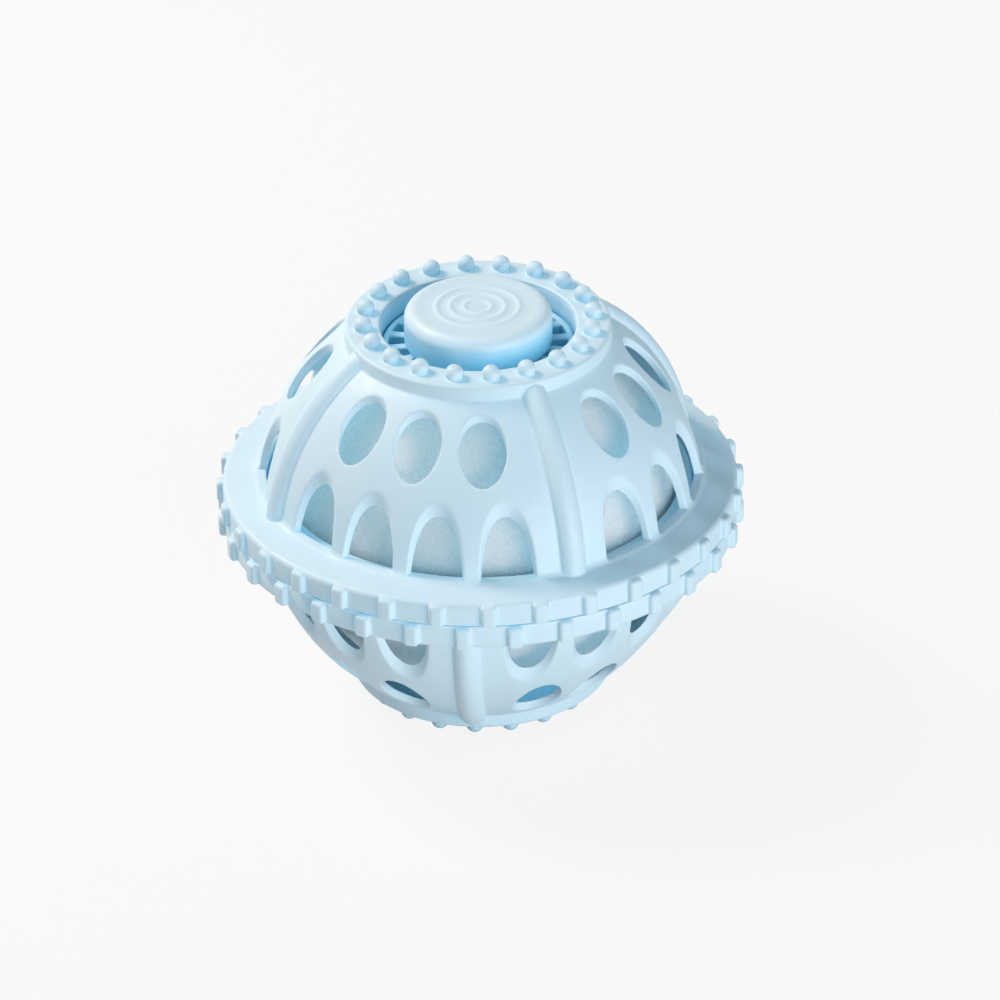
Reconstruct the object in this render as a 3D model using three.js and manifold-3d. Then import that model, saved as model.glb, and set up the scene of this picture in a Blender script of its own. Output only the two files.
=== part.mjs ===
// A lint catcher ball for the wash: two caged half shells, twisted against each other and joined by a ring,
// with a spoked grille and a plug cap in each pole and a foam ball inside.
// Millimetres, +Z up, origin at the centre of the ball.

import * as THREE from "three";
import { mergeVertices } from "three/addons/utils/BufferGeometryUtils.js";
import Module from "manifold-3d";

// Dome of one half shell
const DOME_RADIUS = 42.3;
const SHELL_WALL = 1.5;

// Flange, rim and the nubs that stand out of it
const FLANGE_WIDTH = 6.5;
const RIM_HEIGHT = 4.55;
const RIM_EDGE = 0.8;
const FLANGE_RISE = 0.8;
const PARTING_GAP = 0.3;
const NUB_COUNT = 32;
const NUB_REACH = 1.2;
const NUB_WIDTH = 2.9;
const NUB_HEIGHT = 4.3;

// Ribs that run down the dome
const RIB_COUNT = 4;
const RIB_TUBE_RADIUS = 2.55;
const RIB_PROUD = 1.85;

// Windows of each panel between two ribs: upright round holes, which show as ovals on the sloping dome
const OVALS_PER_PANEL = 3;
const OVAL_PITCH_DEG = 22;
const OVAL_ELEVATION_DEG = 41.7;
const OVAL_DIAMETER = 8.9;

// Windows that stand on the flange: larger upright holes that bite into the dome's edge and show as arches
const ARCHES_PER_PANEL = 4;
const ARCH_PITCH_DEG = 18.6;
const ARCH_DIAMETER = 11;
const ARCH_BITE = 4.75;
const ARCH_SILL = 0.2;

// Collar round the pole, its opening and its ring of ball studs
const COLLAR_RADIUS = 25;
const COLLAR_HEIGHT = 2.9;
const COLLAR_EDGE = 0.7;
const OPENING_RADIUS = 18.3;
const WELL_WALL = 1.8;
const WELL_DEPTH = 4.0;
const STUD_COUNT = 20;
const STUD_RADIUS = 1.7;
const STUD_NECK_RADIUS = 1.3;
const STUD_RISE = 0.95;

// Spoked grille in the well
const GRILLE_CLEARANCE = 0.3;
const GRILLE_RIM_WALL = 1.2;
const GRILLE_FLANGE_THICKNESS = 1.2;
const SPOKE_COUNT = 20;
const SPOKE_WIDTH = 2.0;
const SPOKE_THICKNESS = 2.0;
const HUB_WALL = 2.6;
const HUB_RISE = 1.2;

// Plug cap in the hub of the grille
const CAP_RADIUS = 13.9;
const CAP_WALL = 1.8;
const CAP_RISE = 3.6;
const CAP_EDGE = 2.6;
const STEM_RADIUS = 2.9;
const STEM_CLEARANCE = 0.3;
const SEAT_GAP = 0.3;

// Coupling ring inside the two flanges, with bayonet lugs below and axial keys above
const RING_HEIGHT = 8.4;
const RING_WALL = 2.4;
const RING_CLEARANCE = 0.4;
const LUG_COUNT = 4;
const LUG_SPAN_DEG = 10;
const LUG_REACH = 1.6;
const LUG_HEIGHT = 1.4;
const LUG_LIP = 1.35;
const KEY_SPAN_DEG = 6;
const KEY_REACH = 1.2;
const KEY_HEIGHT = 3.2;
const FIT_CLEARANCE = 0.3;
const UNLOCK_DEG = 22.5;

// Foam ball in the chamber
const CORE_CLEARANCE = 1.3;

// The halves stand two and a half nub pitches apart, so their nubs are staggered.
const STAGGER_PITCHES = 2.5;

// Fineness of the facets
const TURN_SEGMENTS = 32;
const HUB_SEGMENTS = 20;
const CAP_SEGMENTS = 24;
const DOME_STEPS = 4;
const STUD_SEGMENTS = 6;
const OVAL_SIDES = 12;
const ARCH_SIDES = 14;
const SECTOR_STEPS = 2;
const RIB_SIDES = 8;
const RIB_STEPS = 32;
const CORE_STEPS = 10;
const EDGE_STEPS = 2;
const MERGE_DISTANCE = 1e-4;
const CUT_MARGIN = 3;

const TURN = 2 * Math.PI;
const radians = THREE.MathUtils.degToRad;
const legOf = (hypotenuse, leg) => Math.sqrt(hypotenuse ** 2 - leg ** 2);

// Places that several pieces share, in the frame of a half with its pole up
const domeInside = DOME_RADIUS - SHELL_WALL;
const rimRadius = DOME_RADIUS + FLANGE_WIDTH;
const rimBottom = PARTING_GAP / 2;
const rimTop = rimBottom + RIM_HEIGHT;
const flangeTop = rimTop + FLANGE_RISE;
const boreRadius = legOf(domeInside, RING_HEIGHT / 2);
const collarBase = legOf(DOME_RADIUS, COLLAR_RADIUS);
const collarTop = collarBase + COLLAR_HEIGHT;
const studCircle = (OPENING_RADIUS + COLLAR_RADIUS) / 2;
const wellOutside = OPENING_RADIUS + WELL_WALL;
const spokeTop = collarTop - WELL_DEPTH;
const grilleBottom = spokeTop - SPOKE_THICKNESS;
const grilleFlangeTop = grilleBottom + GRILLE_FLANGE_THICKNESS;
const wellBottom = grilleFlangeTop + SEAT_GAP;
const hubBore = STEM_RADIUS + STEM_CLEARANCE;
const capTop = collarTop + CAP_RISE;
const ringOutside = boreRadius - RING_CLEARANCE;
const ringInside = ringOutside - RING_WALL;
const lugTip = ringOutside + LUG_REACH;
const keyTip = ringOutside + KEY_REACH;
const lugTop = rimBottom + LUG_LIP + FIT_CLEARANCE;
const lugBottom = lugTop + LUG_HEIGHT;
const keyBottom = rimBottom + FIT_CLEARANCE;
const keyTop = keyBottom + KEY_HEIGHT;
const coreRadius = ringInside - CORE_CLEARANCE;
const coreFlat = grilleBottom - SEAT_GAP;
const panelAngle = TURN / RIB_COUNT;
const stagger = (STAGGER_PITCHES * TURN) / NUB_COUNT;
const lugAngles = spread(LUG_COUNT, TURN / LUG_COUNT, TURN / LUG_COUNT / 2);

const wasm = await Module();
wasm.setup();

// A closed geometry as a solid that can be joined and cut.
function solid(geometry) {
  const bare = geometry.clone();
  bare.deleteAttribute("normal");
  bare.deleteAttribute("uv");
  const merged = mergeVertices(bare, MERGE_DISTANCE);
  const corners = merged.index.array;
  const triangles = [];
  for (let i = 0; i < corners.length; i += 3) {
    const [a, b, c] = corners.slice(i, i + 3);
    if (a !== b && b !== c && c !== a) triangles.push(a, b, c);
  }
  return new wasm.Manifold(
    new wasm.Mesh({
      numProp: 3,
      vertProperties: merged.attributes.position.array,
      triVerts: new Uint32Array(triangles),
    }),
  );
}

function join(solids) {
  return wasm.Manifold.union(solids);
}

function cut(body, tools) {
  return body.subtract(join(tools));
}

function geometryOf(body) {
  const mesh = body.getMesh();
  const geometry = new THREE.BufferGeometry();
  geometry.setAttribute("position", new THREE.BufferAttribute(mesh.vertProperties, 3));
  geometry.setIndex(new THREE.BufferAttribute(mesh.triVerts, 1));
  geometry.computeVertexNormals();
  return geometry;
}

// Angles of count places a step apart, from first on.
function spread(count, step, first) {
  return Array.from({ length: count }, (_, i) => first + i * step);
}

// Angles of count places a step apart, centred on middle.
function centred(count, step, middle) {
  return spread(count, step, middle - ((count - 1) * step) / 2);
}

// Points of an arc about [r, z], given by its radius and its end angles above the horizontal.
function arc([r, z], radius, start, end, steps) {
  return Array.from({ length: steps + 1 }, (_, i) => {
    const angle = start + ((end - start) * i) / steps;
    return [r + radius * Math.cos(angle), z + radius * Math.sin(angle)];
  });
}

// A closed profile of [radius, height] points turned about the vertical axis.
function turned(profile, segments = TURN_SEGMENTS) {
  const points = [...profile, profile[0]].map(([r, z]) => new THREE.Vector2(r, z));
  return solid(new THREE.LatheGeometry(points, segments).rotateX(Math.PI / 2));
}

// A block that reaches outwards at an angle round the axis.
function radialBlock(inner, outer, width, bottom, top, angle) {
  const block = new THREE.BoxGeometry(outer - inner, width, top - bottom);
  block.translate((inner + outer) / 2, 0, (bottom + top) / 2);
  return solid(block.rotateZ(angle));
}

// An upright sector of a ring between two angles.
function sector(inner, outer, bottom, top, start, end) {
  const shape = new THREE.Shape();
  shape.absarc(0, 0, outer, start, end, false);
  shape.absarc(0, 0, inner, end, start, true);
  const options = { depth: top - bottom, bevelEnabled: false, curveSegments: SECTOR_STEPS };
  return solid(new THREE.ExtrudeGeometry(shape, options).translate(0, 0, bottom));
}

// An upright round drill at a radius and an angle round the axis, from bottom up past the pole.
function drill(diameter, sides, circle, angle, bottom) {
  const depth = capTop - bottom;
  const bit = new THREE.CylinderGeometry(diameter / 2, diameter / 2, depth, sides).rotateX(Math.PI / 2);
  return solid(bit.translate(circle, 0, bottom + depth / 2).rotateZ(angle));
}

// Profile of a half: flange, dome, collar and the tube of the well.
function shellProfile() {
  const domeFoot = Math.asin(flangeTop / DOME_RADIUS);
  const domeHead = Math.acos(COLLAR_RADIUS / DOME_RADIUS);
  const wellHead = Math.acos(wellOutside / domeInside);
  const boreHead = Math.acos(boreRadius / domeInside);
  const rimCorner = [rimRadius - RIM_EDGE, rimTop - RIM_EDGE];
  const outerCorner = [COLLAR_RADIUS - COLLAR_EDGE, collarTop - COLLAR_EDGE];
  const innerCorner = [OPENING_RADIUS + COLLAR_EDGE, collarTop - COLLAR_EDGE];
  return [
    [boreRadius, rimBottom],
    [rimRadius, rimBottom],
    ...arc(rimCorner, RIM_EDGE, 0, Math.PI / 2, EDGE_STEPS),
    ...arc([0, 0], DOME_RADIUS, domeFoot, domeHead, DOME_STEPS),
    ...arc(outerCorner, COLLAR_EDGE, 0, Math.PI / 2, EDGE_STEPS),
    ...arc(innerCorner, COLLAR_EDGE, Math.PI / 2, Math.PI, EDGE_STEPS),
    [OPENING_RADIUS, wellBottom],
    [wellOutside, wellBottom],
    ...arc([0, 0], domeInside, wellHead, boreHead, DOME_STEPS),
  ];
}

// Half-round ribs: rings in upright planes, kept only where they lie on the dome.
function ribs() {
  const ringRadius = DOME_RADIUS + RIB_PROUD - RIB_TUBE_RADIUS;
  const foot = Math.asin((rimBottom + RIM_HEIGHT / 2) / DOME_RADIUS);
  const head = Math.acos(COLLAR_RADIUS / DOME_RADIUS);
  const zone = turned([
    ...arc([0, 0], DOME_RADIUS - SHELL_WALL / 2, head, foot, DOME_STEPS),
    ...arc([0, 0], DOME_RADIUS + RIB_PROUD + CUT_MARGIN, foot, head, DOME_STEPS),
  ]);
  const rings = spread(RIB_COUNT / 2, panelAngle, 0).map((angle) => {
    const ring = new THREE.TorusGeometry(ringRadius, RIB_TUBE_RADIUS, RIB_SIDES, RIB_STEPS);
    return solid(ring.rotateX(Math.PI / 2).rotateZ(angle));
  });
  return join(rings).intersect(zone);
}

function nubs() {
  const bottom = rimBottom + (RIM_HEIGHT - NUB_HEIGHT) / 2;
  const inner = rimRadius - FLANGE_WIDTH / 2;
  return spread(NUB_COUNT, TURN / NUB_COUNT, 0).map((angle) =>
    radialBlock(inner, rimRadius + NUB_REACH, NUB_WIDTH, bottom, bottom + NUB_HEIGHT, angle),
  );
}

// Ball studs on short necks round the collar.
function studs() {
  const centre = collarTop + STUD_RISE;
  const neckAngle = -Math.acos(STUD_NECK_RADIUS / STUD_RADIUS);
  const stud = turned(
    [
      [0, collarTop - COLLAR_EDGE],
      [STUD_NECK_RADIUS, collarTop - COLLAR_EDGE],
      ...arc([0, centre], STUD_RADIUS, neckAngle, Math.PI / 2, EDGE_STEPS),
    ],
    STUD_SEGMENTS,
  );
  return spread(STUD_COUNT, TURN / STUD_COUNT, 0).map((angle) =>
    stud.translate([studCircle * Math.cos(angle), studCircle * Math.sin(angle), 0]),
  );
}

// Angles of a row of windows: the same number, a pitch apart, in the middle of each panel.
function windowAngles(perPanel, pitch) {
  const middles = spread(RIB_COUNT, panelAngle, panelAngle / 2);
  return middles.flatMap((middle) => centred(perPanel, pitch, middle));
}

function ovalWindows() {
  const circle = DOME_RADIUS * Math.cos(radians(OVAL_ELEVATION_DEG));
  return windowAngles(OVALS_PER_PANEL, radians(OVAL_PITCH_DEG)).map((angle) =>
    drill(OVAL_DIAMETER, OVAL_SIDES, circle, angle, flangeTop),
  );
}

function archWindows() {
  const circle = DOME_RADIUS - ARCH_BITE + ARCH_DIAMETER / 2;
  return windowAngles(ARCHES_PER_PANEL, radians(ARCH_PITCH_DEG)).map((angle) =>
    drill(ARCH_DIAMETER, ARCH_SIDES, circle, angle, flangeTop + ARCH_SILL),
  );
}

// Slots in the upper flange that take the keys of the ring and let them slide out downwards.
function keySlots() {
  const half = radians(KEY_SPAN_DEG) / 2 + FIT_CLEARANCE / boreRadius;
  const inner = boreRadius - CUT_MARGIN;
  return lugAngles.map((angle) =>
    sector(inner, keyTip + FIT_CLEARANCE, 0, keyTop + FIT_CLEARANCE, angle - half, angle + half),
  );
}

// Bayonet tracks in the lower flange, seen with that half's pole up: a groove and an entry at its far end.
function bayonetTracks() {
  const half = radians(LUG_SPAN_DEG) / 2 + FIT_CLEARANCE / boreRadius;
  const inner = boreRadius - CUT_MARGIN;
  const outer = lugTip + FIT_CLEARANCE;
  const bottom = lugTop - FIT_CLEARANCE;
  const top = lugBottom + FIT_CLEARANCE;
  return lugAngles.flatMap((angle) => {
    const entry = angle - radians(UNLOCK_DEG);
    return [
      sector(inner, outer, bottom, top, entry - half, angle + half),
      sector(inner, outer, 0, top, entry - half, entry + half),
    ];
  });
}

function shell(flangeCuts) {
  const body = join([turned(shellProfile()), ribs(), ...nubs(), ...studs()]);
  return cut(body, [...ovalWindows(), ...archWindows(), ...flangeCuts]);
}

// Grille: a rim inside the well with a foot flange below the well's tube, spokes and a bored hub.
function grille() {
  const rimOutside = OPENING_RADIUS - GRILLE_CLEARANCE;
  const rimInside = rimOutside - GRILLE_RIM_WALL;
  const hubRadius = hubBore + HUB_WALL;
  const rim = turned([
    [rimInside, grilleBottom],
    [wellOutside, grilleBottom],
    [wellOutside, grilleFlangeTop],
    [rimOutside, grilleFlangeTop],
    [rimOutside, spokeTop],
    [rimInside, spokeTop],
  ]);
  const hub = turned(
    [
      [hubBore, grilleBottom],
      [hubRadius, grilleBottom],
      [hubRadius, spokeTop + HUB_RISE],
      [hubBore, spokeTop + HUB_RISE],
    ],
    HUB_SEGMENTS,
  );
  const inner = hubRadius - HUB_WALL / 2;
  const outer = rimInside + GRILLE_RIM_WALL / 2;
  const spokes = spread(SPOKE_COUNT, TURN / SPOKE_COUNT, 0).map((angle) =>
    radialBlock(inner, outer, SPOKE_WIDTH, grilleBottom, spokeTop, angle),
  );
  return join([rim, hub, ...spokes]);
}

// Cap: a cup with a rounded crown whose skirt stands over the spokes and whose stem plugs into the hub.
function cap() {
  const skirtBottom = spokeTop + SEAT_GAP;
  const inside = CAP_RADIUS - CAP_WALL;
  const ceiling = capTop - CAP_WALL;
  const profile = [
    [0, grilleBottom],
    [STEM_RADIUS, grilleBottom],
    [STEM_RADIUS, ceiling],
    [inside, ceiling],
    [inside, skirtBottom],
    [CAP_RADIUS, skirtBottom],
    ...arc([CAP_RADIUS - CAP_EDGE, capTop - CAP_EDGE], CAP_EDGE, 0, Math.PI / 2, EDGE_STEPS),
    [0, capTop],
  ];
  return turned(profile, CAP_SEGMENTS);
}

// Coupling ring: lugs in the lower half's tracks, keys in the upper half's slots.
function couplingRing() {
  const band = turned([
    [ringInside, -RING_HEIGHT / 2],
    [ringOutside, -RING_HEIGHT / 2],
    [ringOutside, RING_HEIGHT / 2],
    [ringInside, RING_HEIGHT / 2],
  ]);
  const root = ringOutside - RING_WALL / 2;
  const lugHalf = radians(LUG_SPAN_DEG) / 2;
  const keyHalf = radians(KEY_SPAN_DEG) / 2;
  const lugs = lugAngles.map((angle) =>
    sector(root, lugTip, -lugBottom, -lugTop, angle - lugHalf, angle + lugHalf),
  );
  const keys = lugAngles.map((angle) => {
    const middle = angle + stagger;
    return sector(root, keyTip, keyBottom, keyTop, middle - keyHalf, middle + keyHalf);
  });
  return join([band, ...lugs, ...keys]);
}

// Foam ball with a flat at each pole, where the hubs of the grilles press on it.
function foamCore() {
  const flatAngle = Math.asin(coreFlat / coreRadius);
  return turned([
    [0, -coreFlat],
    ...arc([0, 0], coreRadius, -flatAngle, flatAngle, CORE_STEPS),
    [0, coreFlat],
  ]);
}

const shellPlastic = new THREE.MeshStandardMaterial({ color: 0xb4d9ee, roughness: 0.45, metalness: 0 });
const capPlastic = new THREE.MeshStandardMaterial({ color: 0xbadef3, roughness: 0.4, metalness: 0 });
const grillePlastic = new THREE.MeshStandardMaterial({ color: 0x8cc8e8, roughness: 0.45, metalness: 0 });
const ringPlastic = new THREE.MeshStandardMaterial({ color: 0xa6d2ea, roughness: 0.5, metalness: 0 });
const foam = new THREE.MeshStandardMaterial({ color: 0xe6e8e6, roughness: 0.95, metalness: 0 });

function piece(name, body, material) {
  const mesh = new THREE.Mesh(geometryOf(body), material);
  mesh.name = name;
  return mesh;
}

// One half with its pole up: shell, grille and cap.
function half(side, flangeCuts) {
  const group = new THREE.Group();
  group.add(piece(`${side}_shell`, shell(flangeCuts), shellPlastic));
  group.add(piece(`${side}_grille`, grille(), grillePlastic));
  group.add(piece(`${side}_cap`, cap(), capPlastic));
  return group;
}

const upperHalf = half("upper", keySlots());
upperHalf.rotation.z = stagger;

const lowerHalf = half("lower", bayonetTracks());
lowerHalf.rotation.x = Math.PI;

const ball = new THREE.Group();
ball.add(lowerHalf, upperHalf);
ball.add(piece("coupling_ring", couplingRing(), ringPlastic));
ball.add(piece("foam_core", foamCore(), foam));

export default ball;
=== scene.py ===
# Lint catcher ball: the finished surfaces, materials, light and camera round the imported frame.
# Each piece is worked out as a distance field in millimetres, with its pole up, and then meshed.

import itertools
import math

import bpy
import numpy as np
import openvdb
from mathutils import Matrix, Vector


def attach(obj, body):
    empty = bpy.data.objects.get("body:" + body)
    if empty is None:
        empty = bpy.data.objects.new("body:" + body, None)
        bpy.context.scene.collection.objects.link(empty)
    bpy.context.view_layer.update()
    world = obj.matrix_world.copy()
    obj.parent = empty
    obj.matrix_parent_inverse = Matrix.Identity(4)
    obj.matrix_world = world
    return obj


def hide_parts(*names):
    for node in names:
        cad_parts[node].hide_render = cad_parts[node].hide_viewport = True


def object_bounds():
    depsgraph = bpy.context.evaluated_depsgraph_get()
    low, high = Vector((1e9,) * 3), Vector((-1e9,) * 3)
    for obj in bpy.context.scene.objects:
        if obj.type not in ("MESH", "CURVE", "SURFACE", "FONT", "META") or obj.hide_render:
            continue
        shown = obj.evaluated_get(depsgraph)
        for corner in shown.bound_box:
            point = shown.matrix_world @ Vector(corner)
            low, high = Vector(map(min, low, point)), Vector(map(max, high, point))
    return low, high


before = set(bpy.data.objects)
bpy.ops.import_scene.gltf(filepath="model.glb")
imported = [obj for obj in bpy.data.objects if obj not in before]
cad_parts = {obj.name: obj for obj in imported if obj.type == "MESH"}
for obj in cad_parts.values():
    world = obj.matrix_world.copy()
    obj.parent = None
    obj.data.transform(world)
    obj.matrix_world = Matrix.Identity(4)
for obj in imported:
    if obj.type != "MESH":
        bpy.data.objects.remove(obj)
cad_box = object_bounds()

MM = 0.001
TURN = 2 * math.pi

# Dome and flange of a half shell
DOME_RADIUS = 42.3
DOME_WALL = 1.5
RIM_RADIUS = 48.8
RIM_BOTTOM = 0.02
RIM_TOP = 4.7
FLANGE_TOP = 5.5
BORE_RADIUS = 40.5
RIM_EDGE = 0.9
RIM_LOWER_EDGE = 0.1
FOOT_FILLET = 1.2
CHAMBER_EDGE = 0.3

# Nubs of the rim
NUB_COUNT = 32
NUB_INNER = 46.0
NUB_TIP = 50.0
NUB_WIDTH = 2.9
NUB_HEIGHT = 4.4
NUB_EDGE = 0.75
NUB_FILLET = 0.2

# Ribs of the dome
RIB_TUBE_RADIUS = 2.55
RIB_PROUD = 1.85
RIB_HEAD_DEG = 54.0
RIB_FOOT_DEG = 3.0
RIB_FILLET = 0.2

# Windows of the dome, all upright round holes
OVAL_AZIMUTHS_DEG = (23.0, 45.0, 67.0)
OVAL_CIRCLE = 31.58
OVAL_RADIUS = 4.45
ARCH_AZIMUTHS_DEG = (17.1, 35.7, 54.3, 72.9)
ARCH_CIRCLE = 43.05
ARCH_RADIUS = 5.5
ARCH_SILL = 5.7
WINDOW_EDGE = 0.25

# Collar, well and studs at the pole
COLLAR_RADIUS = 25.0
COLLAR_TOP = 37.02
COLLAR_EDGE = 0.7
COLLAR_FILLET = 0.15
DOME_HEAD_RADIUS = 23.0
OPENING_RADIUS = 18.3
WELL_OUTSIDE = 20.1
WELL_BOTTOM = 32.52
STUD_COUNT = 20
STUD_CIRCLE = 21.65
STUD_RADIUS = 1.7
STUD_NECK_RADIUS = 1.3
STUD_CENTRE = 37.97
STUD_FILLET = 0.3

# Grille in the well
GRILLE_BOTTOM = 31.02
GRILLE_FLANGE_TOP = 32.22
SPOKE_TOP = 33.02
GRILLE_OUTSIDE = 18.0
GRILLE_INSIDE = 16.8
SPOKE_COUNT = 20
SPOKE_WIDTH = 2.0
HUB_BORE = 3.2
HUB_RADIUS = 5.8
HUB_TOP = 34.22
GRILLE_EDGE = 0.3
GRILLE_FILLET = 0.4

# Plug cap
CAP_RADIUS = 13.9
CAP_WALL = 1.8
CAP_TOP = 40.62
CAP_EDGE = 2.6
CAP_SKIRT_BOTTOM = 33.32
CAP_SKIRT_EDGE = 0.5
STEM_RADIUS = 2.9
RIPPLE_RADII = (2.6, 5.2, 7.8)
RIPPLE_WIDTH = 0.55
RIPPLE_RELIEF = 0.28

# Coupling ring
RING_OUTSIDE = 40.18
RING_INSIDE = 37.78
RING_HALF_HEIGHT = 4.2
RING_EDGE = 0.25
LUG_AZIMUTH_DEG = 45.0
LUG_HALF_SPAN_DEG = 5.0
LUG_TIP = 41.78
LUG_LOW = -3.2
LUG_HIGH = -1.8
KEY_AZIMUTH_DEG = 73.125
KEY_HALF_SPAN_DEG = 3.0
KEY_TIP = 41.38
KEY_LOW = 0.45
KEY_HIGH = 3.65
FIT_CLEARANCE = 0.3
UNLOCK_DEG = 22.5
STAGGER_DEG = 28.125

# Foam ball
CORE_RADIUS = 37.2
CORE_FLAT = 30.72
CORE_FLAT_EDGE = 2.5
CORE_PORE_DEPTH = 0.25

# Fineness of the meshes
SHELL_VOXEL = 0.22
FINE_VOXEL = 0.17
CORE_VOXEL = 0.47
SHELL_TRIANGLES = 190000
GRILLE_TRIANGLES = 120000
CAP_TRIANGLES = 60000
RING_TRIANGLES = 60000
CORE_TRIANGLES = 150000
MARGIN_VOXELS = 4
BAND_VOXELS = 3


# Distance fields

def round_join(a, b, radius):
    """Both shapes, with a fillet where they meet."""
    blend = np.hypot(np.maximum(radius - a, 0), np.maximum(radius - b, 0))
    return np.maximum(np.minimum(a, b), radius) - blend


def round_overlap(a, b, radius):
    """What both shapes share, with a rounded edge where they meet."""
    blend = np.hypot(np.maximum(radius + a, 0), np.maximum(radius + b, 0))
    return np.minimum(np.maximum(a, b), -radius) + blend


def round_cut(a, tool, radius):
    """The first shape without the tool, with a rounded edge."""
    return round_overlap(a, -tool, radius)


def slab(value, low, high):
    """Distance to the layer between two levels of a value."""
    return np.abs(value - (low + high) / 2) - (high - low) / 2


def rounded_block(layers, edge):
    """A block given by the distances to its layers, with all its edges rounded."""
    beyond = [layer + edge for layer in layers]
    outside = np.sqrt(sum(np.maximum(d, 0) ** 2 for d in beyond))
    inside = beyond[0]
    for d in beyond[1:]:
        inside = np.maximum(inside, d)
    return outside + np.minimum(inside, 0) - edge


def folded(grid, count):
    """Outward and sideways coordinates in the nearest of count equal sectors about the pole."""
    pitch = TURN / count
    angle = grid.azimuth - pitch * np.round(grid.azimuth / pitch)
    return grid.r * np.cos(angle), grid.r * np.sin(angle)


def at_azimuth(grid, degrees):
    """Outward and sideways coordinates seen from one azimuth."""
    angle = grid.azimuth - math.radians(degrees)
    return grid.r * np.cos(angle), grid.r * np.sin(angle)


class Quarter:
    """Sample points of one quarter about the pole, which four turns make whole."""

    def __init__(self, reach, bottom, top, voxel):
        self.voxel = voxel
        self.steps = math.ceil(reach / voxel) + MARGIN_VOXELS
        first = math.floor(bottom / voxel) - MARGIN_VOXELS
        last = math.ceil(top / voxel) + MARGIN_VOXELS
        side = ((np.arange(self.steps) + 0.5) * voxel).astype(np.float32)
        levels = (np.arange(first, last + 1) * voxel).astype(np.float32)
        self.origin = np.array([0.5 - self.steps, 0.5 - self.steps, first])
        self.x = side[:, None, None]
        self.y = side[None, :, None]
        self.z = levels[None, None, :]
        self.r = np.hypot(self.x, self.y)
        self.rho = np.hypot(self.r, self.z)
        self.azimuth = np.arctan2(self.y, self.x)

    def whole(self, quarter):
        """The field of all four quarters."""
        n = self.steps
        turned = np.swapaxes(quarter, 0, 1)
        field = np.empty((2 * n, 2 * n, quarter.shape[2]), np.float32)
        field[n:, n:] = quarter
        field[:n, n:] = turned[::-1, :]
        field[:n, :n] = quarter[::-1, ::-1]
        field[n:, :n] = turned[:, ::-1]
        return field


# Pieces as fields

def windows(grid):
    """Upright holes of one panel: a row of round ones and a row that stands on the flange."""
    holes = np.float32(np.inf)
    for azimuth in OVAL_AZIMUTHS_DEG:
        out, aside = at_azimuth(grid, azimuth)
        holes = np.minimum(holes, np.hypot(out - OVAL_CIRCLE, aside) - OVAL_RADIUS)
    for azimuth in ARCH_AZIMUTHS_DEG:
        out, aside = at_azimuth(grid, azimuth)
        holes = np.minimum(holes, np.hypot(out - ARCH_CIRCLE, aside) - ARCH_RADIUS)
    return np.maximum(holes, ARCH_SILL - grid.z)


def rib(along, aside, grid):
    """A half-round rib down the dome in one upright plane, with round ends."""
    line_radius = DOME_RADIUS + RIB_PROUD - RIB_TUBE_RADIUS
    elevation = np.clip(
        np.arctan2(grid.z, along), math.radians(RIB_FOOT_DEG), math.radians(RIB_HEAD_DEG)
    )
    near = along - line_radius * np.cos(elevation)
    above = grid.z - line_radius * np.sin(elevation)
    tube = np.sqrt(near**2 + above**2 + aside**2) - RIB_TUBE_RADIUS
    return np.maximum(tube, DOME_RADIUS - DOME_WALL / 2 - grid.rho)


def flange(grid):
    """Flange with a slightly sloping top and a rounded rim."""
    slope = math.atan2(FLANGE_TOP - RIM_TOP, RIM_RADIUS - DOME_RADIUS)
    top = (grid.z - RIM_TOP) * math.cos(slope) + (grid.r - RIM_RADIUS) * math.sin(slope)
    body = round_overlap(grid.r - RIM_RADIUS, top, RIM_EDGE)
    return round_overlap(body, RIM_BOTTOM - grid.z, RIM_LOWER_EDGE)


def nubs(grid):
    """Rounded grip blocks round the rim."""
    out, aside = folded(grid, NUB_COUNT)
    middle = (RIM_BOTTOM + RIM_TOP) / 2
    layers = [
        slab(out, NUB_INNER, NUB_TIP),
        np.abs(aside) - NUB_WIDTH / 2,
        np.abs(grid.z - middle) - NUB_HEIGHT / 2,
    ]
    return rounded_block(layers, NUB_EDGE)


def studs(grid):
    """Ball studs on short necks round the collar."""
    out, aside = folded(grid, STUD_COUNT)
    from_axis = np.hypot(out - STUD_CIRCLE, aside)
    ball = np.hypot(from_axis, grid.z - STUD_CENTRE) - STUD_RADIUS
    neck = np.maximum(from_axis - STUD_NECK_RADIUS, slab(grid.z, COLLAR_TOP - COLLAR_EDGE, STUD_CENTRE))
    return np.minimum(ball, neck)


def collar(grid):
    """Raised collar round the opening, with rounded edges."""
    ring = round_overlap(grid.r - COLLAR_RADIUS, grid.z - COLLAR_TOP, COLLAR_EDGE)
    return round_overlap(ring, OPENING_RADIUS - grid.r, COLLAR_EDGE)


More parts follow.
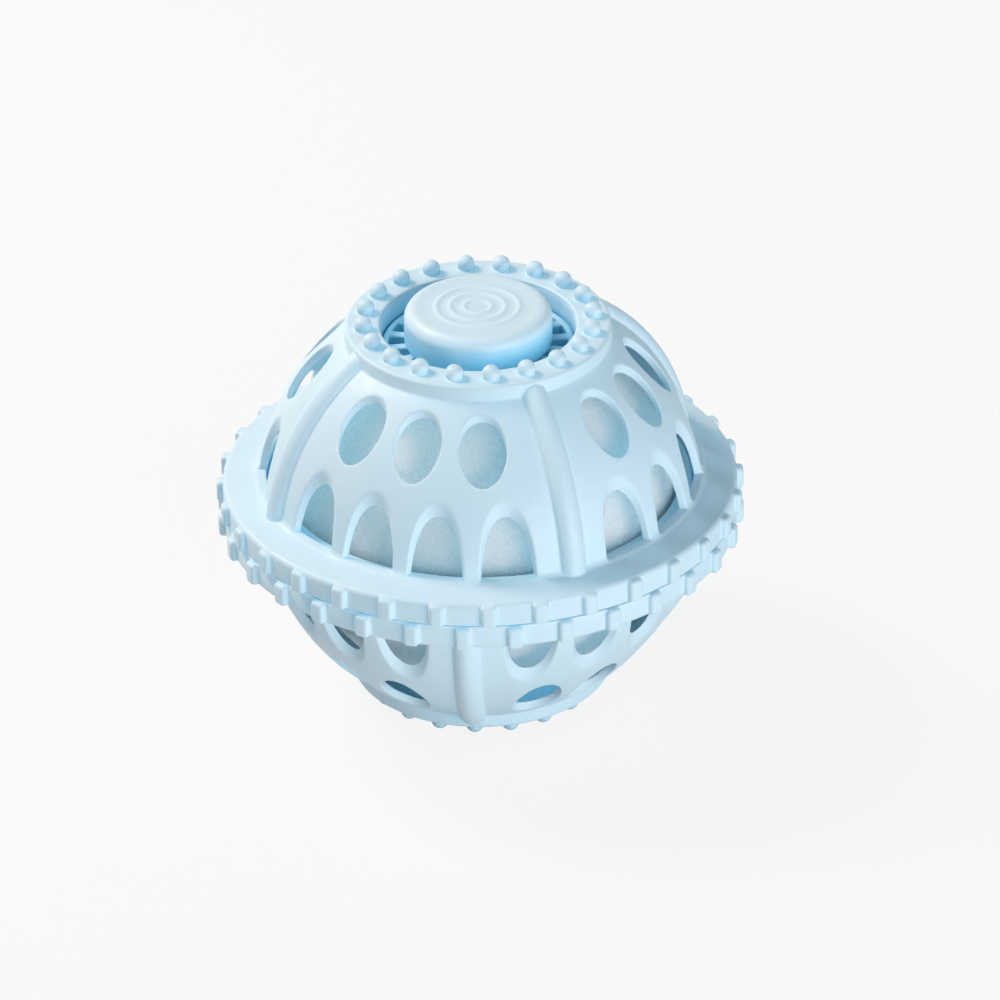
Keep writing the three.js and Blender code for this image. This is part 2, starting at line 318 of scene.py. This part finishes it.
def shell(grid):
    """A half shell without the cuts of its flange."""
    inside = DOME_RADIUS - DOME_WALL
    dome = np.maximum(grid.rho - DOME_RADIUS, DOME_HEAD_RADIUS - grid.r)
    body = round_join(dome, flange(grid), FOOT_FILLET)
    body = round_join(body, rib(grid.x, grid.y, grid), RIB_FILLET)
    body = round_join(body, rib(grid.y, grid.x, grid), RIB_FILLET)
    body = round_cut(body, windows(grid), WINDOW_EDGE)
    body = round_join(body, collar(grid), COLLAR_FILLET)
    body = round_join(body, studs(grid), STUD_FILLET)
    body = round_join(body, nubs(grid), NUB_FILLET)
    body = round_overlap(body, RIM_BOTTOM - grid.z, RIM_LOWER_EDGE)
    chamber = np.maximum(grid.rho - inside, grid.r - BORE_RADIUS)
    body = round_cut(body, chamber, CHAMBER_EDGE)
    well_wall = slab(grid.r, OPENING_RADIUS, WELL_OUTSIDE)
    well_height = slab(grid.z, WELL_BOTTOM, COLLAR_TOP - COLLAR_EDGE)
    well = rounded_block([well_wall, well_height], GRILLE_EDGE)
    return np.maximum(np.minimum(body, well), OPENING_RADIUS - grid.r)


def sector(grid, middle_deg, half_span_deg, outer, low, high):
    """Part of a ring within a span of azimuth and between two levels, out to a radius."""
    off_middle = np.abs(grid.azimuth - math.radians(middle_deg))
    aside = (off_middle - math.radians(half_span_deg)) * outer
    return np.maximum(np.maximum(aside, grid.r - outer), slab(grid.z, low, high))


def with_key_slots(grid, body):
    """The upper shell's flange, slotted for the keys of the ring."""
    half = KEY_HALF_SPAN_DEG + math.degrees(FIT_CLEARANCE / BORE_RADIUS)
    outer = KEY_TIP + FIT_CLEARANCE
    top = KEY_HIGH + FIT_CLEARANCE
    slot = sector(grid, LUG_AZIMUTH_DEG, half, outer, -RIM_BOTTOM, top)
    return np.maximum(body, -slot)


def with_bayonet_tracks(grid, body):
    """The lower shell's flange, with a groove for each lug of the ring and an entry at its far end."""
    half = LUG_HALF_SPAN_DEG + math.degrees(FIT_CLEARANCE / BORE_RADIUS)
    outer = LUG_TIP + FIT_CLEARANCE
    entry = LUG_AZIMUTH_DEG - UNLOCK_DEG
    top = FIT_CLEARANCE - LUG_LOW
    middle = (entry + LUG_AZIMUTH_DEG) / 2
    groove = sector(grid, middle, half + UNLOCK_DEG / 2, outer, -LUG_HIGH - FIT_CLEARANCE, top)
    mouth = sector(grid, entry, half, outer, -RIM_BOTTOM, top)
    return np.maximum(body, -np.minimum(groove, mouth))


def grille(grid):
    """Spoked insert with a rim, a foot under the well and a bored hub."""

    def ring(inner, outer, top):
        layers = [slab(grid.r, inner, outer), slab(grid.z, GRILLE_BOTTOM, top)]
        return rounded_block(layers, GRILLE_EDGE)

    rim = ring(GRILLE_INSIDE, GRILLE_OUTSIDE, SPOKE_TOP)
    foot = ring(GRILLE_INSIDE, WELL_OUTSIDE, GRILLE_FLANGE_TOP)
    hub = ring(HUB_BORE, HUB_RADIUS, HUB_TOP)
    out, aside = folded(grid, SPOKE_COUNT)
    middle_of_hub = (HUB_BORE + HUB_RADIUS) / 2
    middle_of_rim = (GRILLE_INSIDE + GRILLE_OUTSIDE) / 2
    spoke_layers = [
        slab(out, middle_of_hub, middle_of_rim),
        np.abs(aside) - SPOKE_WIDTH / 2,
        slab(grid.z, GRILLE_BOTTOM, SPOKE_TOP),
    ]
    spokes = rounded_block(spoke_layers, GRILLE_EDGE)
    body = round_join(np.minimum(rim, foot), spokes, GRILLE_FILLET)
    return np.maximum(round_join(body, hub, GRILLE_FILLET), HUB_BORE - grid.r)


def cap(grid):
    """Cup with a rounded crown, a stem and low ripples on its face."""
    outer = round_overlap(grid.r - CAP_RADIUS, grid.z - CAP_TOP, CAP_EDGE)
    outer = round_overlap(outer, CAP_SKIRT_BOTTOM - grid.z, CAP_SKIRT_EDGE)
    ceiling = CAP_TOP - CAP_WALL
    hollow = np.maximum(grid.r - (CAP_RADIUS - CAP_WALL), grid.z - ceiling)
    body = np.maximum(outer, -hollow)
    stem_height = slab(grid.z, GRILLE_BOTTOM, ceiling + CAP_WALL / 2)
    stem = rounded_block([grid.r - STEM_RADIUS, stem_height], GRILLE_EDGE)
    body = round_join(body, stem, GRILLE_FILLET)
    relief = np.float32(0)
    for radius in RIPPLE_RADII:
        relief = relief + np.exp(-(((grid.r - radius) / RIPPLE_WIDTH) ** 2))
    face = np.clip((CAP_RADIUS - CAP_EDGE - grid.r) / CAP_EDGE + 0.5, 0, 1)
    sunk = RIPPLE_RELIEF * face * (1 - relief)
    near_face = grid.z > ceiling + CAP_WALL / 2
    return body + np.where(near_face, sunk, 0)


def coupling_ring(grid):
    """Band inside the two flanges, with a bayonet lug and a key in each quarter."""
    wall = slab(grid.r, RING_INSIDE, RING_OUTSIDE)
    band = rounded_block([wall, np.abs(grid.z) - RING_HALF_HEIGHT], RING_EDGE)
    lug = sector(grid, LUG_AZIMUTH_DEG, LUG_HALF_SPAN_DEG, LUG_TIP, LUG_LOW, LUG_HIGH)
    key = sector(grid, KEY_AZIMUTH_DEG, KEY_HALF_SPAN_DEG, KEY_TIP, KEY_LOW, KEY_HIGH)
    teeth = np.maximum(np.minimum(lug, key), (RING_INSIDE + RING_OUTSIDE) / 2 - grid.r)
    return np.minimum(band, teeth)


# Meshes

def read(field, points):
    """Values of a field between its samples, at points counted in samples."""
    base = np.clip(np.floor(points).astype(int), 0, np.array(field.shape) - 2)
    part = points - base
    total = np.zeros(len(points))
    for corner in itertools.product((0, 1), repeat=3):
        weight = np.prod(np.where(corner, part, 1 - part), axis=1)
        total += weight * field[tuple((base + corner).T)]
    return total


def slopes(field, points):
    """Unit normals of a field's surface, and how sharply the surface bends outwards there."""
    here = read(field, points)
    normals = np.zeros((len(points), 3))
    bend = np.zeros(len(points))
    for axis in range(3):
        offset = np.zeros(3)
        offset[axis] = 1
        ahead = read(field, points + offset)
        behind = read(field, points - offset)
        normals[:, axis] = ahead - behind
        bend += ahead + behind - 2 * here
    normals /= np.maximum(np.linalg.norm(normals, axis=1), 1e-9)[:, None]
    return normals, bend


def thinned(mesh, most_triangles):
    """The mesh of squares as fewer triangles, with its flattest parts made coarsest."""
    name = mesh.name
    piece = bpy.data.objects.new("thinning", mesh)
    bpy.context.scene.collection.objects.link(piece)
    modifier = piece.modifiers.new("thin", "DECIMATE")
    modifier.ratio = min(1, most_triangles / (2 * len(mesh.polygons)))
    depsgraph = bpy.context.evaluated_depsgraph_get()
    thin = bpy.data.meshes.new_from_object(piece.evaluated_get(depsgraph))
    bpy.data.objects.remove(piece)
    bpy.data.meshes.remove(mesh)
    thin.name = name
    return thin


def mesh_of(name, field, grid, place, most_triangles):
    """A smooth mesh of the surface of a field, carried to its place in the frame."""
    voxel = grid.voxel
    band = BAND_VOXELS * voxel
    field = np.clip(field, -band, band).astype(np.float32)
    volume = openvdb.FloatGrid(band)
    volume.copyFromArray(field)
    points, quads = volume.convertToQuads(0.0)
    spots = (points + grid.origin) * voxel * MM
    mesh = bpy.data.meshes.new(name)
    mesh.vertices.add(len(spots))
    mesh.vertices.foreach_set("co", spots.astype(np.float32).ravel())
    mesh.loops.add(quads.size)
    mesh.loops.foreach_set("vertex_index", quads.astype(np.int32).ravel())
    mesh.polygons.add(len(quads))
    mesh.polygons.foreach_set("loop_start", np.arange(0, quads.size, 4, dtype=np.int32))
    mesh.update(calc_edges=True)
    mesh = thinned(mesh, most_triangles)
    spots = np.empty(3 * len(mesh.vertices), np.float32)
    mesh.vertices.foreach_get("co", spots)
    normals, bend = slopes(field, spots.reshape(-1, 3) / (voxel * MM) - grid.origin)
    mesh.shade_smooth()
    mesh.normals_split_custom_set_from_vertices(normals)
    curve = mesh.attributes.new("bend", "FLOAT", "POINT")
    curve.data.foreach_set("value", (bend / voxel).astype(np.float32))
    mesh.transform(place)
    return mesh


def add_piece(name, mesh, material, body, node):
    piece = bpy.data.objects.new(name, mesh)
    bpy.context.scene.collection.objects.link(piece)
    mesh.materials.append(material)
    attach(piece, body)
    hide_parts(node)
    return piece


# Materials

# Colours of the plastic and the foam
# Paler tone for random patches, and also the painted highlight on outward edges
PALE_BLUE = (0.75, 0.88, 0.955)
SHELL_BLUE = (0.655, 0.84, 0.945)
# Painted shade: the darker, more saturated blue that the shell's hollows take where little light reaches
# them
SHELL_HOLLOW_SHADE = (0.26, 0.60, 0.78)
CAP_BLUE = (0.70, 0.87, 0.965)
# Painted shade: the darker blue of the cap's side down in the well
CAP_HOLLOW_SHADE = (0.20, 0.66, 0.88)
GRILLE_BLUE = (0.62, 0.84, 0.95)
# Painted shade: the darker blue of the grille down in the well
GRILLE_HOLLOW_SHADE = (0.12, 0.56, 0.80)
# Painted shade in the sunk pores of the foam
FOAM_PORE_SHADE = (0.72, 0.75, 0.76)
FOAM_WALL = (0.84, 0.86, 0.865)
# White of the foam's grains, partly painted glints
FOAM_GRAIN_GLINT = (0.97, 0.97, 0.97)

# Steps per metre of the patterns in the materials
CLOUD_SCALE = 70
WAVE_SCALE = 160
GLOSS_SCALE = 450
DOT_SCALE = 1500
GRAIN_SCALE = 2600

# Light that passes each face of a plastic wall
WALL_SHARE = 0.76
WALL_TINT = (0.66, 0.9, 0.98)


class Nodes:
    """A material's node tree, built up by short calls."""

    def __init__(self, name):
        self.material = bpy.data.materials.new(name)
        self.material.use_nodes = True
        self.tree = self.material.node_tree
        self.shader = self.tree.nodes["Principled BSDF"]
        coordinates = self.tree.nodes.new("ShaderNodeTexCoord")
        self.place = coordinates.outputs["Object"]

    def link(self, source, target):
        self.tree.links.new(source, target)

    def noise(self, scale, detail=2.0, roughness=0.5):
        node = self.tree.nodes.new("ShaderNodeTexNoise")
        node.inputs["Scale"].default_value = scale
        node.inputs["Detail"].default_value = detail
        node.inputs["Roughness"].default_value = roughness
        self.link(self.place, node.inputs["Vector"])
        return node.outputs["Fac"]

    def spread(self, value, low, high, to_low, to_high):
        node = self.tree.nodes.new("ShaderNodeMapRange")
        node.inputs["From Min"].default_value = low
        node.inputs["From Max"].default_value = high
        node.inputs["To Min"].default_value = to_low
        node.inputs["To Max"].default_value = to_high
        self.link(value, node.inputs["Value"])
        return node.outputs["Result"]

    def attribute(self, name):
        node = self.tree.nodes.new("ShaderNodeAttribute")
        node.attribute_name = name
        return node.outputs["Fac"]

    def mix(self, amount, first, second):
        node = self.tree.nodes.new("ShaderNodeMix")
        node.data_type = "RGBA"
        self.link(amount, node.inputs["Factor"])
        for value, target in ((first, node.inputs[6]), (second, node.inputs[7])):
            if isinstance(value, tuple):
                target.default_value = (*value, 1)
            else:
                self.link(value, target)
        return node.outputs[2]

    def math(self, operation, first, second):
        """One sum on a value and a second value or number."""
        node = self.tree.nodes.new("ShaderNodeMath")
        node.operation = operation
        self.link(first, node.inputs[0])
        if isinstance(second, float):
            node.inputs[1].default_value = second
        else:
            self.link(second, node.inputs[1])
        return node.outputs["Value"]

    def spots(self, scale):
        """Distance to the nearest of many scattered points, in steps between them."""
        node = self.tree.nodes.new("ShaderNodeTexVoronoi")
        node.inputs["Scale"].default_value = scale
        self.link(self.place, node.inputs["Vector"])
        return node.outputs["Distance"]

    def openness(self, distance):
        """How freely light from all round reaches the surface, from 0 to 1."""
        node = self.tree.nodes.new("ShaderNodeAmbientOcclusion")
        node.samples = 8
        node.inputs["Distance"].default_value = distance
        return node.outputs["AO"]

    def let_light_through(self, share, tint):
        """Lets a share of the lamps' light through both faces of one wall, as thin pale plastic does."""
        clear = self.tree.nodes.new("ShaderNodeBsdfTransparent")
        clear.inputs["Color"].default_value = (*tint, 1)
        path = self.tree.nodes.new("ShaderNodeLightPath")
        first_wall = self.math("LESS_THAN", path.outputs["Transparent Depth"], 1.5)
        light = self.spread(path.outputs["Is Shadow Ray"], 0, 1, 0, share)
        blend = self.tree.nodes.new("ShaderNodeMixShader")
        self.link(self.math("MULTIPLY", light, first_wall), blend.inputs["Fac"])
        self.link(self.shader.outputs["BSDF"], blend.inputs[1])
        self.link(clear.outputs["BSDF"], blend.inputs[2])
        self.link(blend.outputs["Shader"], self.tree.nodes["Material Output"].inputs["Surface"])

    def bump(self, height, strength, distance, below=None):
        node = self.tree.nodes.new("ShaderNodeBump")
        node.inputs["Strength"].default_value = strength
        node.inputs["Distance"].default_value = distance
        self.link(height, node.inputs["Height"])
        if below is not None:
            self.link(below, node.inputs["Normal"])
        return node.outputs["Normal"]


def moulded_plastic(name, colour, hollow_shade, reach, roughness):
    """Matte moulded plastic: a fine grain, slow changes of tone, a painted highlight on outward edges and
    painted shade in hollows.
    """
    nodes = Nodes(name)
    shader = nodes.shader
    cloud = nodes.noise(CLOUD_SCALE, detail=3)
    cloud_share = nodes.spread(cloud, low=0.3, high=0.7, to_low=0, to_high=0.3)
    tone = nodes.mix(cloud_share, colour, PALE_BLUE)
    # Painted shade: where the surroundings block light, the colour turns to the darker hollow blue
    hollow_shade_share = nodes.spread(nodes.openness(reach), low=0.7, high=0.2, to_low=0, to_high=0.8)
    tone = nodes.mix(hollow_shade_share, tone, hollow_shade)
    # Painted highlight: outward bends of the surface turn paler, as edges that catch the light
    edge_highlight_share = nodes.spread(nodes.attribute("bend"), low=0.25, high=1.6, to_low=0, to_high=0.5)
    tone = nodes.mix(edge_highlight_share, tone, PALE_BLUE)
    nodes.link(tone, shader.inputs["Base Color"])
    gloss = nodes.noise(GLOSS_SCALE, detail=4)
    smoothest = roughness - 0.06
    roughest = roughness + 0.08
    gloss = nodes.spread(gloss, low=0.3, high=0.7, to_low=smoothest, to_high=roughest)
    nodes.link(gloss, shader.inputs["Roughness"])
    broad = nodes.bump(nodes.noise(WAVE_SCALE, detail=2), strength=0.12, distance=0.0006)
    fine = nodes.noise(GRAIN_SCALE, detail=3)
    grain = nodes.bump(fine, strength=0.12, distance=0.0001, below=broad)
    nodes.link(grain, shader.inputs["Normal"])
    shader.inputs["Specular IOR Level"].default_value = 0.4
    nodes.let_light_through(WALL_SHARE, WALL_TINT)
    return nodes.material


def foam_material(name):
    """White open-cell foam: fine pores with painted shade in them, and white grains that are partly painted
    glints.
    """
    nodes = Nodes(name)
    shader = nodes.shader
    grain = nodes.noise(GRAIN_SCALE, detail=3, roughness=0.6)
    # Painted shade: the sunk pores of the grain are darker
    pore_shade_share = nodes.spread(grain, low=0.3, high=0.7, to_low=0, to_high=1)
    tone = nodes.mix(pore_shade_share, FOAM_PORE_SHADE, FOAM_WALL)
    # Scattered white grains in patches, partly painted glints
    dots = nodes.spread(nodes.spots(DOT_SCALE), low=0.34, high=0.16, to_low=0, to_high=0.8)
    patches = nodes.noise(WAVE_SCALE, detail=2)
    patches = nodes.spread(patches, low=0.42, high=0.62, to_low=0, to_high=1)
    grain_glints = nodes.math("MULTIPLY", dots, patches)
    tone = nodes.mix(grain_glints, tone, FOAM_GRAIN_GLINT)
    nodes.link(tone, shader.inputs["Base Color"])
    shader.inputs["Roughness"].default_value = 0.95
    shader.inputs["Subsurface Weight"].default_value = 0.85
    shader.inputs["Subsurface Radius"].default_value = (1.0, 1.0, 1.0)
    shader.inputs["Subsurface Scale"].default_value = 0.012
    pores = nodes.bump(grain, strength=0.35, distance=0.0003)
    raised = nodes.bump(grain_glints, strength=0.5, distance=0.0003, below=pores)
    nodes.link(raised, shader.inputs["Normal"])
    return nodes.material


# Building

def build_halves(plastic, grille_plastic, cap_plastic):
    upper_place = Matrix.Rotation(math.radians(STAGGER_DEG), 4, "Z")
    lower_place = Matrix.Rotation(math.pi, 4, "X")
    grid = Quarter(NUB_TIP, RIM_BOTTOM, CAP_TOP, SHELL_VOXEL)
    body = shell(grid)
    fine = Quarter(WELL_OUTSIDE, GRILLE_BOTTOM, HUB_TOP, FINE_VOXEL)
    insert = fine.whole(grille(fine))
    top = Quarter(CAP_RADIUS, GRILLE_BOTTOM, CAP_TOP, FINE_VOXEL)
    plug = top.whole(cap(top))
    for side, place, cuts in (
        ("upper", upper_place, with_key_slots),
        ("lower", lower_place, with_bayonet_tracks),
    ):
        whole = grid.whole(cuts(grid, body))
        mesh = mesh_of(f"{side}_shell_moulding", whole, grid, place, SHELL_TRIANGLES)
        add_piece(mesh.name, mesh, plastic, f"{side}_half", f"{side}_shell")
        mesh = mesh_of(f"{side}_grille_insert", insert, fine, place, GRILLE_TRIANGLES)
        add_piece(mesh.name, mesh, grille_plastic, f"{side}_half", f"{side}_grille")
        mesh = mesh_of(f"{side}_cap_plug", plug, top, place, CAP_TRIANGLES)
        add_piece(mesh.name, mesh, cap_plastic, f"{side}_plug", f"{side}_cap")


def build_ring(material):
    grid = Quarter(LUG_TIP, -RING_HALF_HEIGHT, RING_HALF_HEIGHT, SHELL_VOXEL)
    field = grid.whole(coupling_ring(grid))
    mesh = mesh_of("coupling_band", field, grid, Matrix.Identity(4), RING_TRIANGLES)
    add_piece(mesh.name, mesh, material, "coupling", "coupling_ring")


def build_core(material):
    """Foam ball with flats at the poles and a pitted skin."""
    grid = Quarter(CORE_RADIUS, -CORE_RADIUS, CORE_RADIUS, CORE_VOXEL)
    ball = round_overlap(grid.rho - CORE_RADIUS, np.abs(grid.z) - CORE_FLAT, CORE_FLAT_EDGE)
    field = grid.whole(ball)
    generator = np.random.default_rng(7)
    rough = generator.random(field.shape, dtype=np.float32)
    for axis in range(3):
        rough = (np.roll(rough, 1, axis) + 2 * rough + np.roll(rough, -1, axis)) / 4
    rough = (rough - rough.mean()) / rough.std()
    field = field + CORE_PORE_DEPTH * np.clip(0.5 + rough / 4, 0, 1)
    mesh = mesh_of("foam_ball", field, grid, Matrix.Identity(4), CORE_TRIANGLES)
    piece = add_piece(mesh.name, mesh, material, "core", "foam_core")


# Stage

CAMERA_AZIMUTH_DEG = 4.17
CAMERA_ELEVATION_DEG = 30.21
CAMERA_ROLL_DEG = 0.73
CAMERA_DISTANCE = 1.2018
CAMERA_LENS = 227.76
CAMERA_SENSOR = 36.0
PICTURE_SIDE = 1000
CENTRE_PIXEL = (480.34, 493.19)
FLOOR_GREY = (0.62, 0.62, 0.62)
FLOOR_WHITE = 0.88
FLOOR_HALF_SIDE = 4.0


def direction(azimuth_deg, elevation_deg):
    """Unit vector from the origin. Azimuth 0 is the front, and it grows to the right."""
    azimuth = math.radians(azimuth_deg)
    elevation = math.radians(elevation_deg)
    flat = math.cos(elevation)
    return Vector((math.sin(azimuth) * flat, -math.cos(azimuth) * flat, math.sin(elevation)))


def add_camera():
    data = bpy.data.cameras.new("camera")
    data.lens = CAMERA_LENS
    data.sensor_width = CAMERA_SENSOR
    data.shift_x = (PICTURE_SIDE / 2 - CENTRE_PIXEL[0]) / PICTURE_SIDE
    data.shift_y = (CENTRE_PIXEL[1] - PICTURE_SIDE / 2) / PICTURE_SIDE
    camera = bpy.data.objects.new("camera", data)
    bpy.context.scene.collection.objects.link(camera)
    towards = direction(CAMERA_AZIMUTH_DEG, CAMERA_ELEVATION_DEG)
    aim = (-towards).to_track_quat("-Z", "Y").to_matrix().to_4x4()
    roll = Matrix.Rotation(math.radians(-CAMERA_ROLL_DEG), 4, "Z")
    camera.matrix_world = Matrix.Translation(towards * CAMERA_DISTANCE) @ aim @ roll
    bpy.context.scene.camera = camera


def add_lamp(name, azimuth_deg, elevation_deg, distance, size, level, colour):
    """A soft lamp aimed at the ball. At level 1 it alone shows a facing surface at its own colour."""
    data = bpy.data.lights.new(name, "AREA")
    data.shape = "RECTANGLE"
    data.size, data.size_y = size
    data.energy = level * math.pi**2 * distance**2
    data.color = colour
    lamp = bpy.data.objects.new(name, data)
    bpy.context.scene.collection.objects.link(lamp)
    towards = direction(CAMERA_AZIMUTH_DEG + azimuth_deg, elevation_deg)
    aim = (-towards).to_track_quat("-Z", "Y").to_matrix().to_4x4()
    lamp.matrix_world = Matrix.Translation(towards * distance) @ aim


def seen_directly(tree):
    """1 for rays that show the background, straight or by a reflection, and 0 for its light."""
    path = tree.nodes.new("ShaderNodeLightPath")
    total = path.outputs["Is Camera Ray"]
    for kind in ("Is Glossy Ray", "Is Transmission Ray"):
        either = tree.nodes.new("ShaderNodeMath")
        either.operation = "MAXIMUM"
        tree.links.new(total, either.inputs[0])
        tree.links.new(path.outputs[kind], either.inputs[1])
        total = either.outputs["Value"]
    return total


def add_world(level, colour):
    """Even soft light from all round, and plain white where the camera looks past the ball."""
    world = bpy.data.worlds.new("studio")
    bpy.context.scene.world = world
    world.use_nodes = True
    tree = world.node_tree
    background = tree.nodes["Background"]
    background.inputs["Color"].default_value = (*colour, 1)
    background.inputs["Strength"].default_value = level
    white = tree.nodes.new("ShaderNodeBackground")
    white.inputs["Color"].default_value = (1, 1, 1, 1)
    blend = tree.nodes.new("ShaderNodeMixShader")
    tree.links.new(seen_directly(tree), blend.inputs["Fac"])
    tree.links.new(background.outputs["Background"], blend.inputs[1])
    tree.links.new(white.outputs["Background"], blend.inputs[2])
    tree.links.new(blend.outputs["Shader"], tree.nodes["World Output"].inputs["Surface"])


def add_floor():
    """Pale floor under the ball, near white from above, with a faint shadow, and clear from below."""
    level = cad_box[0][2]
    corners = [
        (side * FLOOR_HALF_SIDE, end * FLOOR_HALF_SIDE, level)
        for side, end in ((-1, -1), (1, -1), (1, 1), (-1, 1))
    ]
    mesh = bpy.data.meshes.new("floor")
    mesh.from_pydata(corners, [], [range(len(corners))])
    floor = bpy.data.objects.new("floor", mesh)
    bpy.context.scene.collection.objects.link(floor)
    material = bpy.data.materials.new("pale_floor")
    material.use_nodes = True
    tree = material.node_tree
    shader = tree.nodes["Principled BSDF"]
    shader.inputs["Base Color"].default_value = (*FLOOR_GREY, 1)
    shader.inputs["Roughness"].default_value = 1.0
    shader.inputs["Specular IOR Level"].default_value = 0.0
    glow = tree.nodes.new("ShaderNodeEmission")
    share = tree.nodes.new("ShaderNodeMapRange")
    share.inputs["To Max"].default_value = FLOOR_WHITE
    tree.links.new(seen_directly(tree), share.inputs["Value"])
    blend = tree.nodes.new("ShaderNodeMixShader")
    tree.links.new(share.outputs["Result"], blend.inputs["Fac"])
    tree.links.new(shader.outputs["BSDF"], blend.inputs[1])
    tree.links.new(glow.outputs["Emission"], blend.inputs[2])
    underside = tree.nodes.new("ShaderNodeNewGeometry").outputs["Backfacing"]
    clear = tree.nodes.new("ShaderNodeBsdfTransparent")
    one_sided = tree.nodes.new("ShaderNodeMixShader")
    tree.links.new(underside, one_sided.inputs["Fac"])
    tree.links.new(blend.outputs["Shader"], one_sided.inputs[1])
    tree.links.new(clear.outputs["BSDF"], one_sided.inputs[2])
    tree.links.new(one_sided.outputs["Shader"], tree.nodes["Material Output"].inputs["Surface"])
    mesh.materials.append(material)


def main():
    add_camera()
    shell_plastic = moulded_plastic("shell_plastic", SHELL_BLUE, SHELL_HOLLOW_SHADE, reach=0.006, roughness=0.48)
    cap_plastic = moulded_plastic("cap_plastic", CAP_BLUE, CAP_HOLLOW_SHADE, reach=0.010, roughness=0.44)
    grille_plastic = moulded_plastic("grille_plastic", GRILLE_BLUE, GRILLE_HOLLOW_SHADE, reach=0.005, roughness=0.48)
    ring_plastic = moulded_plastic("ring_plastic", SHELL_BLUE, SHELL_HOLLOW_SHADE, reach=0.006, roughness=0.48)
    build_halves(shell_plastic, grille_plastic, cap_plastic)
    build_ring(ring_plastic)
    build_core(foam_material("foam"))
    add_world(level=0.24, colour=(0.44, 0.80, 1.0))
    add_lamp(
        "key", azimuth_deg=-116, elevation_deg=47, distance=0.8,
        size=(0.25, 0.25), level=0.94, colour=(1.0, 0.87, 0.79),
    )
    add_lamp(
        "fill", azimuth_deg=34, elevation_deg=8, distance=1.0,
        size=(0.9, 0.3), level=0.71, colour=(1.0, 0.99, 0.98),
    )
    add_floor()
    bpy.context.scene.view_settings.view_transform = "Standard"


main()
